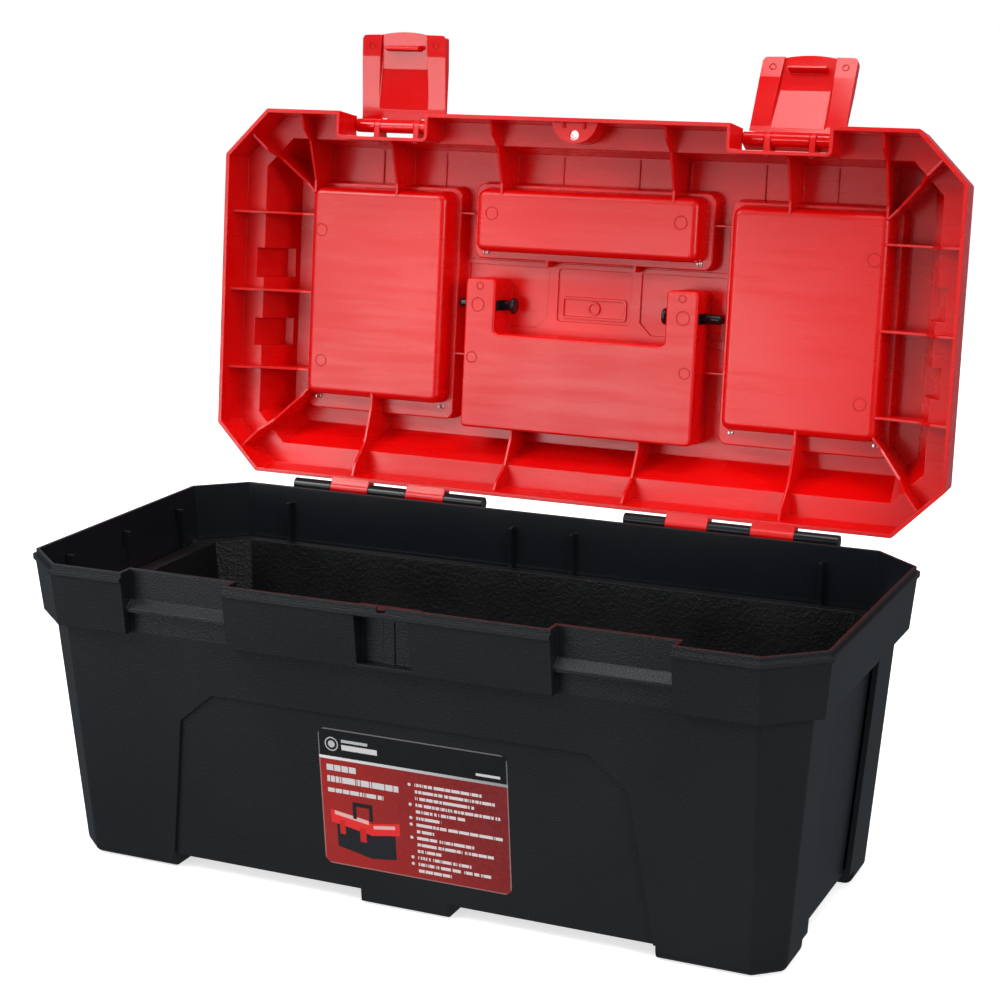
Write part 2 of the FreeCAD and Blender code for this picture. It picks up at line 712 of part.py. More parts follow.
def make_lid():
    lower = frustum(lid_outline, lid_edge, lid_step_outline, step_top, 2.5)
    upper = frustum(lid_crown_foot, step_top - 1, lid_crown_outline, crown_top, 2.5)
    floor_z, step_z, top_z = rim + bin_floor_rise, rim + bin_step_rise, crown_top
    hollow = lid_hollow(0.0)

    # the shell before its bins: outer form, end pockets, hollow
    bumps = []
    holes = [hollow]
    for y0, y1 in end_pockets:
        high = crown_top - 4.0
        tilt = crown_end_draft * (high - step_top) / (crown_top - step_top)
        foot = lid_crown_foot.half + end_pocket_reach
        outer = [(foot, step_top - 1), (foot - tilt, high), (foot - 40, high), (foot - 40, step_top - 1)]
        inner = [(foot - wall, rim + ledge_rise - 1), (foot - wall - tilt, high - wall),
                 (foot - 44, high - wall), (foot - 44, rim + ledge_rise - 1)]
        bumps += both_sides(profile_y(outer, y0 - wall, y1 + wall))
        holes += both_sides(profile_y(inner, y0, y1))
    shell = fuse_all([lower, upper] + bumps)
    shell = cut_all(shell, holes)

    # walls that stand inside the shell, trimmed to it
    eye_z = rim + eye_clearance
    eye = rod(eye_radius, V(0, lid_front, eye_z), Z_AXIS, step_top - eye_z)
    room = lid_hollow(wall / 2.0)
    inside = [latch_notch_wall(-latch_centre), latch_notch_wall(latch_centre), eye]
    inside = [piece.common(lower) for piece in inside]
    inside += [rib.common(room) for rib in lid_ribs()]
    bins = [bin_shape(span, 0.0, floor_z, step_z, top_z) for span in cover_spans()]
    recess = handle_recess(0.0, rim + recess_floor_rise, top_z)
    low = rim + crown_rise - cell_band
    frame = round_block(-23.0, 23.0, -8.6, 5.8, low, low + 2, 2.4)
    frame = frame.cut(round_block(-21.4, 21.4, -7.0, 4.2, low - 1, low + 3, 1.2))
    gate = rod(4.4, V(0, -1.6, low - 0.3), Z_AXIS, 2.0).cut(rod(3.0, V(0, -1.6, low - 1), Z_AXIS, 1.6))
    gussets = both_sides(profile_y([(eye_gusset - 1.4, eye_z), (eye_gusset + 1.4, eye_z), (eye_gusset, eye_z - 2.2)],
                                   lid_front + 0.5, lid_front + 6.5))
    raised = [frame, gate, cell_bands()] + gussets
    shell = fuse_all([shell] + inside + bins + [recess] + raised + lid_knuckles())
    shell = fuse_all([shell] + [latch_ear(x) for x in ear_places()])

    # hollows open to the outside
    cuts = [bin_shape(span, wall, floor_z + wall, step_z + wall, top_z + 1) for span in cover_spans()]
    cuts += pin_windows()
    cuts.append(handle_recess(wall, rim + recess_floor_rise + wall, top_z + 1))
    cuts.append(rod(eye_radius - wall, V(0, lid_front, eye_z + eye_plate), Z_AXIS, step_top))
    cuts.append(rod(padlock_radius, V(0, padlock_y, eye_z - 1), Z_AXIS, 5))
    for centre in (-latch_centre, latch_centre):
        ears = [latch_ear(x) for x in ear_places() if abs(x - centre) < latch_width / 2.0]
        cuts.append(cut_all(latch_notch_cut(centre), ears))
    cuts += ejector_marks()
    cuts += barb_slots()
    for x0, x1 in hinge_spans():
        cuts.append(rod(hinge_pin_radius + hinge_running_gap, V(x0, hinge_y, hinge_z), X_AXIS, x1 - x0))
    cuts.append(rod(latch_pin_radius, V(-lid_half_length, latch_y, latch_z), X_AXIS, 2 * lid_half_length))
    cuts.append(rod(pivot_pin_radius, V(-recess_half - 1, pivot_back, pivot_z), X_AXIS, 2 * recess_half + 2))
    return cut_all(shell, cuts)


def lid_knuckles():
    """Barrels that stand out from the lid's back edge between the tub's barrels."""
    pieces = []
    for x0, x1 in knuckle_cells(1):
        strap = [(lid_back - 1.5, lid_edge), (hinge_y, hinge_z - knuckle_radius),
                 (hinge_y, hinge_z + knuckle_radius), (lid_back - 1.5, hinge_z + knuckle_radius + 3)]
        barrel = rod(knuckle_radius, V(x0, hinge_y, hinge_z), X_AXIS, x1 - x0)
        pieces.append(profile_x(strap, x0, x1).fuse(barrel))
    return pieces


def make_handle_pin(side):
    """Headed pin through one post: head inboard, rounded tip outboard."""
    inner = post_inner - pivot_head_gap
    outer = recess_half + pivot_tip_reach
    shaft = rod(pivot_pin_radius, V(inner, pivot_back, pivot_z), X_AXIS, outer - inner)
    tip = shaft.Edges[0:1] if shaft.Edges[0].BoundBox.XMin > inner + 1 else shaft.Edges[2:3]
    shaft = shaft.makeFillet(pivot_pin_radius * 0.85, tip)
    head = rod(pivot_head_radius, V(inner - pivot_head_length, pivot_back, pivot_z), X_AXIS, pivot_head_length)
    head = head.makeFillet(1.2, [e for e in head.Edges if e.BoundBox.XLength < EPS])
    pin = shaft.fuse(head)
    return pin if side > 0 else mirrored(pin)


def make_latch_pin(side):
    half = latch_width / 2.0 - 1.0
    pin = rod(latch_pin_radius, V(side * latch_centre - half, latch_y, latch_z), X_AXIS, 2 * half)
    return pin.makeChamfer(0.3, pin.Edges[0:1] + pin.Edges[2:3])


# ================================================================ latch, drawn closed
def make_latch(side):
    centre = side * latch_centre
    half = latch_width / 2.0
    x0, x1 = centre - half, centre + half
    face = lid_front + latch_front_inset
    tip = latch_z - latch_length
    bow = 1.6
    neck = latch_z + latch_barrel_radius
    barrel = rod(latch_barrel_radius, V(x0, latch_y, latch_z), X_AXIS, latch_width)
    front = [(face + 1.2, neck), (face, neck - 5), (face, tip + 22), (face + bow, tip + 3),
             (face + bow + 1, tip - latch_tongue_reach)]
    plate = front + [(face + bow + latch_plate + 1.2, tip - latch_tongue_reach), (face + latch_plate, tip + 22),
                     (face + latch_plate, latch_z), (latch_y, neck)]
    rails = front + [(face + bow + latch_rail_depth - 1, tip - latch_tongue_reach),
                     (face + latch_rail_depth, tip + 14), (face + latch_plate + 0.4, latch_z - 12),
                     (face + latch_plate, latch_z), (latch_y, neck)]
    edge = latch_rail_width
    body = profile_x(rails, x0, x1).cut(latch_channel(centre, half - edge, face, tip))
    body = body.fuse(profile_x(plate, x0, x1)).common(latch_outline(centre, half, tip, neck))
    hook_top = rim - catch_drop - catch_height - hook_drop
    hook_tip = -set_back - catch_reach + hook_under
    hook = [(face + 1, hook_top - hook_thickness - 2.5), (face + 1, hook_top), (hook_tip, hook_top),
            (hook_tip, hook_top - hook_thickness + 1), (hook_tip - 1.5, hook_top - hook_thickness)]
    hook = profile_x(hook, centre - hook_half_width, centre + hook_half_width)
    hook = turned(hook, latch_y, latch_z, -latch_closed_angle).cut(block(x0, x1, face - 20, face + 1, tip, latch_z))
    latch = fuse_all([barrel, body, hook])
    marks = []
    for x in (x0 + edge / 2.0, x1 - edge / 2.0):
        ring = rod(latch_mark_radius, V(x, face + latch_rail_depth - 0.3, tip + 7), Y_AXIS, 3)
        marks.append(ring.cut(rod(latch_mark_radius - 0.4, V(x, face, tip + 7), Y_AXIS, 12)))
    slots = []
    room = latch_barrel_radius + 0.8
    for x in ear_places():
        if abs(x - centre) < half:
            slot = ear_thickness / 2.0 + ear_gap
            slots.append(block(x - slot, x + slot, face - 2, latch_y + 12, latch_z - room, latch_z + 12))
    bore = rod(latch_pin_radius + latch_running_gap, V(x0 - 1, latch_y, latch_z), X_AXIS, latch_width + 2)
    return cut_all(latch, slots + marks + [bore])


def latch_channel(centre, half, face, tip):
    """Hollow between the rails, wider towards the pivot."""
    wide = half + 2.5
    outline = [(centre - half, tip - 9), (centre + half, tip - 9), (centre + wide, latch_z - 11),
               (centre - wide, latch_z - 11)]
    channel = profile_y(outline, face + latch_plate + 0.01, face + 14)
    return channel.makeFillet(2.0, [e for e in channel.Edges if e.BoundBox.YMax < face + latch_plate + 0.1
                                    and e.BoundBox.ZLength > 20])


def latch_outline(centre, half, tip, neck):
    """Front view of the latch: rounded lower corners and a bowed middle."""
    top = neck + 1
    arch = half - latch_rail_width
    reach = latch_tongue_reach
    spots = [V(centre - half, 0, top), V(centre - half, 0, tip + latch_corner)]
    edges = [Part.makeLine(spots[0], spots[1])]
    corner = V(centre - half + latch_corner * 0.3, 0, tip + latch_corner * 0.3)
    foot = V(centre - half + latch_corner, 0, tip)
    edges.append(Part.Arc(spots[1], corner, foot).toShape())
    left, right = V(centre - arch, 0, tip - 0.3), V(centre + arch, 0, tip - 0.3)
    edges.append(Part.makeLine(foot, left))
    edges.append(Part.Arc(left, V(centre, 0, tip - reach), right).toShape())
    far_foot, far_corner = V(centre + half - latch_corner, 0, tip), V(centre + half, 0, tip + latch_corner)
    edges.append(Part.makeLine(right, far_foot))
    bend = V(centre + half - latch_corner * 0.3, 0, tip + latch_corner * 0.3)
    edges.append(Part.Arc(far_foot, bend, far_corner).toShape())
    edges.append(Part.makeLine(far_corner, V(centre + half, 0, top)))
    edges.append(Part.makeLine(V(centre + half, 0, top), spots[0]))
    face = Part.Face(Part.Wire(edges))
    face.translate(V(0, lid_front - 5, 0))
    return face.extrude(V(0, 40, 0))


# ================================================================ handle, folded into its recess
def make_handle():
    outer = recess_half - wall - handle_side_gap
    inner = outer - handle_arm_width
    top = closed_height
    low = top - grip_height
    back = recess_back - wall - grip_back_gap
    front = back - grip_depth
    boss = handle_boss_radius
    grip = round_grip(-outer, outer, front, back, low, top)
    arm = [(pivot_back, pivot_z - boss), (front + 8, low), (back - 6, low + 4), (front + 6, top - 5),
           (pivot_back, pivot_z + boss)]
    arms = []
    for piece in both_sides(profile_x(arm, inner, outer)):
        arms.append(piece)
    bosses = both_sides(rod(boss, V(inner, pivot_back, pivot_z), X_AXIS, handle_arm_width))
    bore = rod(pivot_pin_radius + pivot_running_gap, V(-outer - 1, pivot_back, pivot_z), X_AXIS, 2 * outer + 2)
    return fuse_all([grip] + arms + bosses).cut(bore)


def round_grip(x0, x1, y0, y1, z0, z1):
    """Bar along X with rounded long edges and four shallow finger hollows underneath."""
    bar = block(x0, x1, y0, y1, z0, z1)
    bar = bar.makeFillet(grip_radius, [e for e in bar.Edges if e.BoundBox.XLength > 10])
    pitch, radius, bite = 26.0, 24.0, 2.4
    hollows = []
    for index in (-1.5, -0.5, 0.5, 1.5):
        hollows.append(rod(radius, V(index * pitch, y0 - 1, z0 - radius + bite), Y_AXIS, y1 - y0 + 2))
    return cut_all(bar, hollows)


# ================================================================ organizer covers, drawn closed
def cover_spans():
    """Name, side walls, front and back of each bin, and the front of its cover."""
    front = big_bin_front - cover_front_reach
    return [("left", -big_bin_outer, -big_bin_inner, big_bin_front, big_bin_back, front),
            ("right", big_bin_inner, big_bin_outer, big_bin_front, big_bin_back, front),
            ("middle", -middle_bin_half, middle_bin_half, middle_bin_front, middle_bin_back,
             middle_bin_front - cover_front_reach + 2.0)]


def cover_hinge(bin_back):
    """Y and Z of the hinge line inside a bin's back wall."""
    return bin_back - wall - strip_gap - strip_plate / 2.0, crown_top + cover_gap + bead_radius


def make_cover(span):
    _, x0, x1, y0, y1, front = span
    side = cover_margin - 0.4
    hinge_back, hinge_level = cover_hinge(y1)
    z0 = crown_top + cover_gap
    z1 = z0 + cover_plate
    plate = round_block(x0 - side, x1 + side, front, hinge_back + 6, z0, z1, 4.0)
    plate = plate.cut(block(x0 - 9, x1 + 9, hinge_back, hinge_back + 9, z0 - 1, z1 + 1))
    bead = rod(bead_radius, V(x0 + strip_end, hinge_back, hinge_level), X_AXIS, x1 - x0 - 2 * strip_end)
    inset = cover_dome_inset
    dome_base = (x0 + inset, x1 - inset, y0 + inset, y1 - inset - 4.0)
    dome = rounded_dome(dome_base, z0, z1 + cover_dome_rise, 6.0)
    room = rounded_dome((dome_base[0] + cover_plate, dome_base[1] - cover_plate, dome_base[2] + cover_plate,
                         dome_base[3] - cover_plate), z0 - 1, z1 + cover_dome_rise - cover_plate, 5.0)
    gap = wall + cover_lip_gap
    ring = round_block(x0 + gap, x1 - gap, y0 + gap, y1 - gap, z0 - cover_lip_depth, z0 + EPS, 3.0)
    thick = gap + cover_lip_wall
    hole = round_block(x0 + thick, x1 - thick, y0 + thick, y1 + 9, z0 - cover_lip_depth - 1, z0 + 1, 2.0)
    behind = block(x0, x1, hinge_back - 4.0, y1 + 9, z0 - cover_lip_depth - 1, z0 - 0.05)
    ring = cut_all(ring, [hole, behind])
    clip_y = front_wall_y(z0 - clip_depth) - clip_gap
    clip_x = x0 - side
    clip = block(clip_x, clip_x + clip_width, clip_y - clip_plate, clip_y, z0 - clip_depth, z1)
    bridge = block(clip_x, clip_x + clip_width, clip_y - clip_plate, front + 4.0, z0, z1)
    window = block(clip_x + 3.5, clip_x + clip_width - 3.5, clip_y - 5, clip_y + 1, z0 - clip_depth + 3, z0 - 2)
    cover = fuse_all([plate, dome, ring, clip, bridge, bead])
    return cut_all(cover, [room, window])


def front_wall_y(z):
    """Y of the crown's sloping front, outside, at height z."""
    share = (crown_top - z) / (crown_top - step_top)
    return lid_crown_outline.front - crown_front_draft * share


def rounded_dome(base, z0, z1, corner):
    x0, x1, y0, y1 = base
    shape = round_block(x0, x1, y0, y1, z0, z1, corner)
    return shape.makeFillet(1.5, [e for e in shape.Edges if e.BoundBox.ZMin > z1 - EPS])


def barb_places(span):
    name, x0, x1, _, y1, _ = span
    y = cover_hinge(y1)[0] - (back_step(name) - middle_bin_back_step) * 0.7
    return [(x0 + strip_end + barb_width, y), (x1 - strip_end - barb_width, y)]


def make_cover_strip(span):
    """Upright strip inside the bin, grooved for the cover's bead and held by two barbs."""
    _, x0, x1, _, y1, _ = span
    y, level = cover_hinge(y1)
    half = strip_plate / 2.0
    foot_z = rim + bin_step_rise + wall
    strip = block(x0 + strip_end, x1 - strip_end, y - half, y + half, foot_z + strip_lift, level - 0.2)
    under_cover = block(x0, x1, y - half - 1, y, level - bead_radius - cover_gap, level + 1)
    groove = rod(bead_radius + bead_gap, V(x0, y, level), X_AXIS, x1 - x0)
    pieces = [cut_all(strip, [under_cover, groove])]
    for x, barb_y in barb_places(span):
        wide, deep = barb_width / 2.0, barb_depth / 2.0
        pieces.append(block(x - 2 * wide, x + 2 * wide, barb_y - deep, y + half - strip_foot, foot_z,
                            foot_z + strip_foot))
        low = foot_z - wall
        outline = [(x - wide, foot_z + 0.5), (x - wide, low - 0.3), (x - wide - barb_head / 2, low - 0.5),
                   (x - 0.4, low - barb_length), (x + 0.4, low - barb_length),
                   (x + wide + barb_head / 2, low - 0.5), (x + wide, low - 0.3), (x + wide, foot_z + 0.5)]
        pieces.append(profile_y(outline, barb_y - deep, barb_y + deep))
    return fuse_all(pieces)


def barb_slots():
    slots = []
    half_x, half_y = barb_width / 2.0 + 0.1, barb_depth / 2.0 + 0.1
    ledge = rim + bin_step_rise
    for span in cover_spans():
        for x, y in barb_places(span):
            slots.append(block(x - half_x, x + half_x, y - half_y, y + half_y, ledge - 1, ledge + wall + 1))
    return slots


# ================================================================ tray
def make_tray():
    top = collar_bottom + tray_flange_thickness
    bottom = collar_bottom - tray_depth
    slope = body_draft / body_height
    mouth = seat_outline.inset(tray_gap)
    end_half = body_outline.half - end_panel_depth - body_wall - tray_gap
    mouth = Octagon(end_half, mouth.front, mouth.back, mouth.cut_x, mouth.cut_y)
    foot = mouth.inset(tray_depth * slope + tray_extra_draft)
    body = frustum(foot, bottom, mouth, top, 3.0, 2.0)
    hollow = frustum(foot.inset(tray_wall), bottom + tray_wall, mouth.inset(tray_wall), top + EPS, 2.0, 1.0)
    reach = ledge_rib_reach + tray_rib_gap
    flange_outline = ledge_outline.inset(reach)
    flange = frustum(flange_outline, collar_bottom, flange_outline, top, 2.0)
    notch_y = seat_outline.front + tray_notch_gap
    relief = []
    for centre, half in ((-latch_centre, notch_half), (latch_centre, notch_half), (0.0, pocket_half)):
        width = half + wall + tray_notch_gap
        relief.append(block(centre - width, centre + width, -rim_half_width, notch_y, collar_bottom - 1, top + 1))
    shell = fuse_all([body, flange.cut(relief)]).cut(hollow)

    half = divider_thickness / 2.0
    y = divider_place
    low_z = bottom + tray_wall / 2.0
    wall_top = collar_bottom - divider_drop
    long_wall = block(-end_half, end_half, y - half, y + half, low_z, wall_top)
    bridge = [(-grip_bridge_half - 10, wall_top - 1), (-grip_bridge_half, collar_bottom - grip_bridge_drop),
              (grip_bridge_half, collar_bottom - grip_bridge_drop), (grip_bridge_half + 10, wall_top - 1)]
    bridge = profile_y(bridge, y - half - 1, y + half + 1)
    slot_top = collar_bottom - grip_bridge_drop - 5.0
    slot = round_slot(grip_slot_half, slot_top - grip_slot_height, slot_top, y)
    walls = [long_wall, bridge]
    for x in cross_dividers:
        walls.append(block(x - half, x + half, mouth.front, y, low_z, wall_top - 4.0))
    room = frustum(foot.inset(tray_wall / 2.0), bottom + tray_wall / 2.0, mouth.inset(tray_wall / 2.0), top)
    walls = [piece.common(room) for piece in walls]
    return fuse_all([shell] + walls).cut(slot)


def round_slot(half, z0, z1, y):
    shape = block(-half, half, y - 5, y + 5, z0, z1)
    return shape.makeFillet((z1 - z0) * 0.4, [e for e in shape.Edges if e.BoundBox.YLength > 5])


# ================================================================ placing and export
def turned(shape, y, z, angle):
    """Turn about a line along X through (y, z); a positive angle lifts the front edge."""
    copy = shape.copy()
    copy.rotate(V(0, y, z), V(-1, 0, 0), angle)
    return copy


def on_open_lid(shape):
    return turned(shape, hinge_y, hinge_z, lid_open_angle)


def build():
    nodes = {"tub": make_tub(), "label": make_label(), "tray": make_tray()}
    for name, span in zip(("left", "right"), hinge_spans()):
        nodes["hinge_pin_" + name] = make_hinge_pin(span)
    nodes["lid"] = on_open_lid(make_lid())
    nodes["handle"] = on_open_lid(make_handle())
    for name, side, angle in (("left", -1, left_latch_angle), ("right", 1, right_latch_angle)):
        nodes["handle_pin_" + name] = on_open_lid(make_handle_pin(side))
        nodes["latch_pin_" + name] = on_open_lid(make_latch_pin(side))
        nodes["latch_" + name] = on_open_lid(turned(make_latch(side), latch_y, latch_z, angle))
    for span in cover_spans():
        nodes["cover_" + span[0]] = on_open_lid(make_cover(span))
        nodes["cover_strip_" + span[0]] = on_open_lid(make_cover_strip(span))
    return nodes


def main():
    os.makedirs("parts", exist_ok=True)
    for name, shape in build().items():
        shape.exportStep("parts/" + name + ".step")
        print(name, "solids", len(shape.Solids), "valid", shape.isValid(), "volume", round(shape.Volume))


main()
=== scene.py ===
# %% [markdown]
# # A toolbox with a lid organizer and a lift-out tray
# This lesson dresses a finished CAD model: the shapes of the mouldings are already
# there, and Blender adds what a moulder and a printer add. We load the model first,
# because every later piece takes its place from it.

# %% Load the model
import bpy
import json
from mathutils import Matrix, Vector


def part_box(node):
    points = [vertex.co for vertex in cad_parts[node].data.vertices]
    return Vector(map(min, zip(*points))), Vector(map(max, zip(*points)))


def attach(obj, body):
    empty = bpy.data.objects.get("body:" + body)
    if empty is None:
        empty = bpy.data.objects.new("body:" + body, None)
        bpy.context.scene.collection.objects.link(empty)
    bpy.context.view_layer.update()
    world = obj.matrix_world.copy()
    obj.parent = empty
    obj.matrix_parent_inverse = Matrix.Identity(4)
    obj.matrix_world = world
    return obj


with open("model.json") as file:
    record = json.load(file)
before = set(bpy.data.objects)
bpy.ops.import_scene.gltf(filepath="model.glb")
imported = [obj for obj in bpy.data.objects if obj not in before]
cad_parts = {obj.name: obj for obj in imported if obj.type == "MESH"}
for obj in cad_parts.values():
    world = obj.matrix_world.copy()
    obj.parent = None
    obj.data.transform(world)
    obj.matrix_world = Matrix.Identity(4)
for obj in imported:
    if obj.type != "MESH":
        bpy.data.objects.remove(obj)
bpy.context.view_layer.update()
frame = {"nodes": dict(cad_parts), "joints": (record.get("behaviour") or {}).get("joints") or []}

# %% Tools for the whole lesson
import bpy
import json
import math
from mathutils import Matrix, Vector

MM = 0.001
nodes = frame["nodes"]
joints = {joint["name"]: joint for joint in frame["joints"]}

# %% [markdown]
# ## Camera
# A product picture is taken from well back with a long lens, so that the box keeps its
# proportions. The camera stands to the right of the front corner and looks slightly
# down into the tub. It is aimed by a direction, which is easier to read than angles.

# %% Camera
camera_place = Vector((0.5476, -1.1561, 0.5425))
camera_azimuth = math.radians(24.52)
camera_drop = math.radians(13.94)
camera_roll = math.radians(-0.13)
camera_lens_mm = 80.1

level = math.cos(camera_drop)
aim = Vector((-math.sin(camera_azimuth) * level,
              math.cos(camera_azimuth) * level,
              -math.sin(camera_drop)))
camera_data = bpy.data.cameras.new("camera")
camera_data.lens = camera_lens_mm
camera = bpy.data.objects.new("camera", camera_data)
turn = aim.to_track_quat("-Z", "Y").to_matrix().to_4x4() @ Matrix.Rotation(camera_roll, 4, "Z")
camera.matrix_world = Matrix.Translation(camera_place) @ turn
bpy.context.scene.collection.objects.link(camera)
bpy.context.scene.camera = camera
print("camera looks along", [round(v, 2) for v in aim])

# %% [markdown]
# ## Floor and light
# Glossy plastic shows whatever it mirrors. A big soft panel stands low at the front
# left, where the lid's flat faces mirror it, and gives them their pale sheen. White
# paper on all sides would wash the walls out to pink too, so the room is white to the
# camera but nearly black to the plastic's own reflections, as dark flags would make it.

# %% Floor
floor_width = 24.0
floor_drop = 0.5 * MM   # keeps the paper just clear of the feet
bpy.ops.mesh.primitive_plane_add(size=floor_width, location=(0, 0, -floor_drop))
floor = bpy.context.object
floor.name = "floor"
paper = bpy.data.materials.new("pale_paper")
paper.use_nodes = True
paper_shader = paper.node_tree.nodes["Principled BSDF"].inputs
paper_shader["Base Color"].default_value = (0.84, 0.84, 0.84, 1)
paper_shader["Roughness"].default_value = 0.9
paper_shader["Specular IOR Level"].default_value = 0.0
paper_shader["Emission Color"].default_value = (1, 1, 1, 1)
paper_shader["Emission Strength"].default_value = 0.66
floor.data.materials.append(paper)
floor.visible_diffuse = False
floor.visible_glossy = False
print("floor", floor_width, "m wide")


# %% Soft panels of light
def light_panel(name, place, target, width, height, power):
    """A rectangular lamp at place that faces target."""
    data = bpy.data.lights.new(name, "AREA")
    data.shape = "RECTANGLE"
    data.size, data.size_y = width, height
    data.energy = power
    lamp = bpy.data.objects.new(name, data)
    facing = (Vector(target) - Vector(place)).to_track_quat("-Z", "Y")
    lamp.matrix_world = Matrix.Translation(place) @ facing.to_matrix().to_4x4()
    lamp.visible_camera = False
    bpy.context.scene.collection.objects.link(lamp)
    return lamp


light_panel("panel_low_left", (-0.92, -1.55, 0.33), (-0.05, 0.1, 0.33), 1.15, 0.50, 8.5)
light_panel("panel_high_left", (-1.3, -1.2, 1.6), (0, 0, 0.25), 0.9, 0.9, 22)
light_panel("panel_top", (0.15, -0.25, 1.9), (0, 0.0, 0.2), 1.3, 0.8, 17)
light_panel("panel_right", (1.7, -0.8, 0.9), (0, 0, 0.25), 0.5, 1.0, 13)
light_panel("panel_back", (-0.4, 1.9, 1.3), (0, 0, 0.2), 1.2, 0.8, 20)
print("five panels of light")

# %% The room
world = bpy.data.worlds.new("studio")
world.use_nodes = True
room = world.node_tree
seen = room.nodes["Background"]
seen.inputs["Color"].default_value = (1.0, 1.0, 1.0, 1)
seen.inputs["Strength"].default_value = 1.0
fill = room.nodes.new("ShaderNodeBackground")
fill.inputs["Color"].default_value = (0.96, 0.98, 1.0, 1)
fill.inputs["Strength"].default_value = 0.44
mirrored = room.nodes.new("ShaderNodeBackground")
mirrored.inputs["Color"].default_value = (0.80, 0.90, 1.0, 1)
mirrored.inputs["Strength"].default_value = 0.20
ray = room.nodes.new("ShaderNodeLightPath")
glossy_mix = room.nodes.new("ShaderNodeMixShader")
camera_mix = room.nodes.new("ShaderNodeMixShader")
room.links.new(ray.outputs["Is Glossy Ray"], glossy_mix.inputs[0])
room.links.new(fill.outputs[0], glossy_mix.inputs[1])
room.links.new(mirrored.outputs[0], glossy_mix.inputs[2])
room.links.new(ray.outputs["Is Camera Ray"], camera_mix.inputs[0])
room.links.new(glossy_mix.outputs[0], camera_mix.inputs[1])
room.links.new(seen.outputs[0], camera_mix.inputs[2])
room.links.new(camera_mix.outputs[0], room.nodes["World Output"].inputs[0])
bpy.context.scene.world = world
bpy.context.scene.view_settings.view_transform = "Standard"
print("a white room with dim reflections")

# %% [markdown]
# ## A short way to write materials
# Each finish is a small graph of nodes. A helper class adds a node, sets its inputs and
# joins sockets in one call, so that each recipe reads as a list of what the plastic
# does. Patterns read Object coordinates, which are metres on the real object.


# %% Recipe helper
class Recipe:
    """A material's node tree, with short calls to add and join nodes."""

    def __init__(self, name):
        self.material = bpy.data.materials.new(name)
        self.material.use_nodes = True
        self.tree = self.material.node_tree
        self.shader = self.tree.nodes["Principled BSDF"]
        self.place = self.add("TexCoord").outputs["Object"]

    def feed(self, socket, value):
        """Join a socket to the input, or set the input to a number or colour."""
        if isinstance(value, bpy.types.NodeSocket):
            self.tree.links.new(value, socket)
        else:
            socket.default_value = value

    def add(self, kind, settings=None, **inputs):
        node = self.tree.nodes.new("ShaderNode" + kind)
        for key, value in (settings or {}).items():
            setattr(node, key, value)
        for key, value in inputs.items():
            self.feed(node.inputs[key.replace("_", " ")], value)
        return node

    def math(self, operation, *values):
        node = self.add("Math", {"operation": operation})
        for socket, value in zip(node.inputs, values):
            self.feed(socket, value)
        return node.outputs[0]

    def both(self, *shares):
        """One where every share is one."""
        total = shares[0]
        for share in shares[1:]:
            total = self.math("MULTIPLY", total, share)
        return total

    def any(self, *shares):
        """One where at least one share is one."""
        total = shares[0]
        for share in shares[1:]:
            total = self.math("MAXIMUM", total, share)
        return total

    def within(self, value, low, high):
        return self.both(self.math("GREATER_THAN", value, low), self.math("LESS_THAN", value, high))

    def ramp(self, value, low, high, to_low=0.0, to_high=1.0, smooth=False):
        """Stretch value from low..high to to_low..to_high, held at the ends."""
        node = self.add("MapRange", {"interpolation_type": "SMOOTHSTEP" if smooth else "LINEAR"})
        names = ("Value", "From Min", "From Max", "To Min", "To Max")
        for key, number in zip(names, (value, low, high, to_low, to_high)):
            self.feed(node.inputs[key], number)
        return node.outputs["Result"]

    def noise(self, scale, detail=3.0, place=None, roughness=0.5):
        node = self.add("TexNoise", Scale=scale, Detail=detail, Roughness=roughness,
                        Vector=place or self.place)
        return node.outputs["Fac"]

    def cells(self, scale, feature="F1", place=None):
        node = self.add("TexVoronoi", {"feature": feature}, Scale=scale, Vector=place or self.place)
        return node.outputs["Distance"]

    def blend(self, share, a, b):
        """Mix two colours, or two colour sockets, by share."""
        node = self.add("Mix", {"data_type": "RGBA"})
        for socket, value in ((node.inputs[0], share), (node.inputs[6], a), (node.inputs[7], b)):
            self.feed(socket, value)
        return node.outputs[2]

    def bump(self, height, distance, normal=None, strength=1.0):
        node = self.add("Bump", Height=height, Distance=distance, Strength=strength)
        if normal is not None:
            self.feed(node.inputs["Normal"], normal)
        return node.outputs["Normal"]

    def soft_edges(self, radius):
        """Normals that turn smoothly over every moulded edge."""
        return self.add("Bevel", {"samples": 3}, Radius=radius).outputs["Normal"]

    def shade(self, **inputs):
        for key, value in inputs.items():
            self.feed(self.shader.inputs[key.replace("_", " ")], value)


def colour(red, green, blue):
    return (red, green, blue, 1.0)


print("recipe helper:", ", ".join(name for name in vars(Recipe) if not name.startswith("_")))

# %% [markdown]
# ## Black polypropylene of the tub
# The outside of the tub is spark-eroded in the mould, which gives the plastic a fine
# leathery grain and a soft sheen. The band above the ledge was polished, and mirrors
# the room. Its colour is also darker and bluer than the grain's; the blue is a painted
# bluish sheen. The recipe finds that band by height and by which way a face points, and
# uses a cell pattern under the noise so that the grain has pebbles and not only dust.


# %% Tub material
polished_band_bottom = 151.5 * MM
outward_weights = (0.25, 1, 0)   # a place times these points away from the tub's middle
inward_limit = -0.001            # below it, a face looks towards the middle


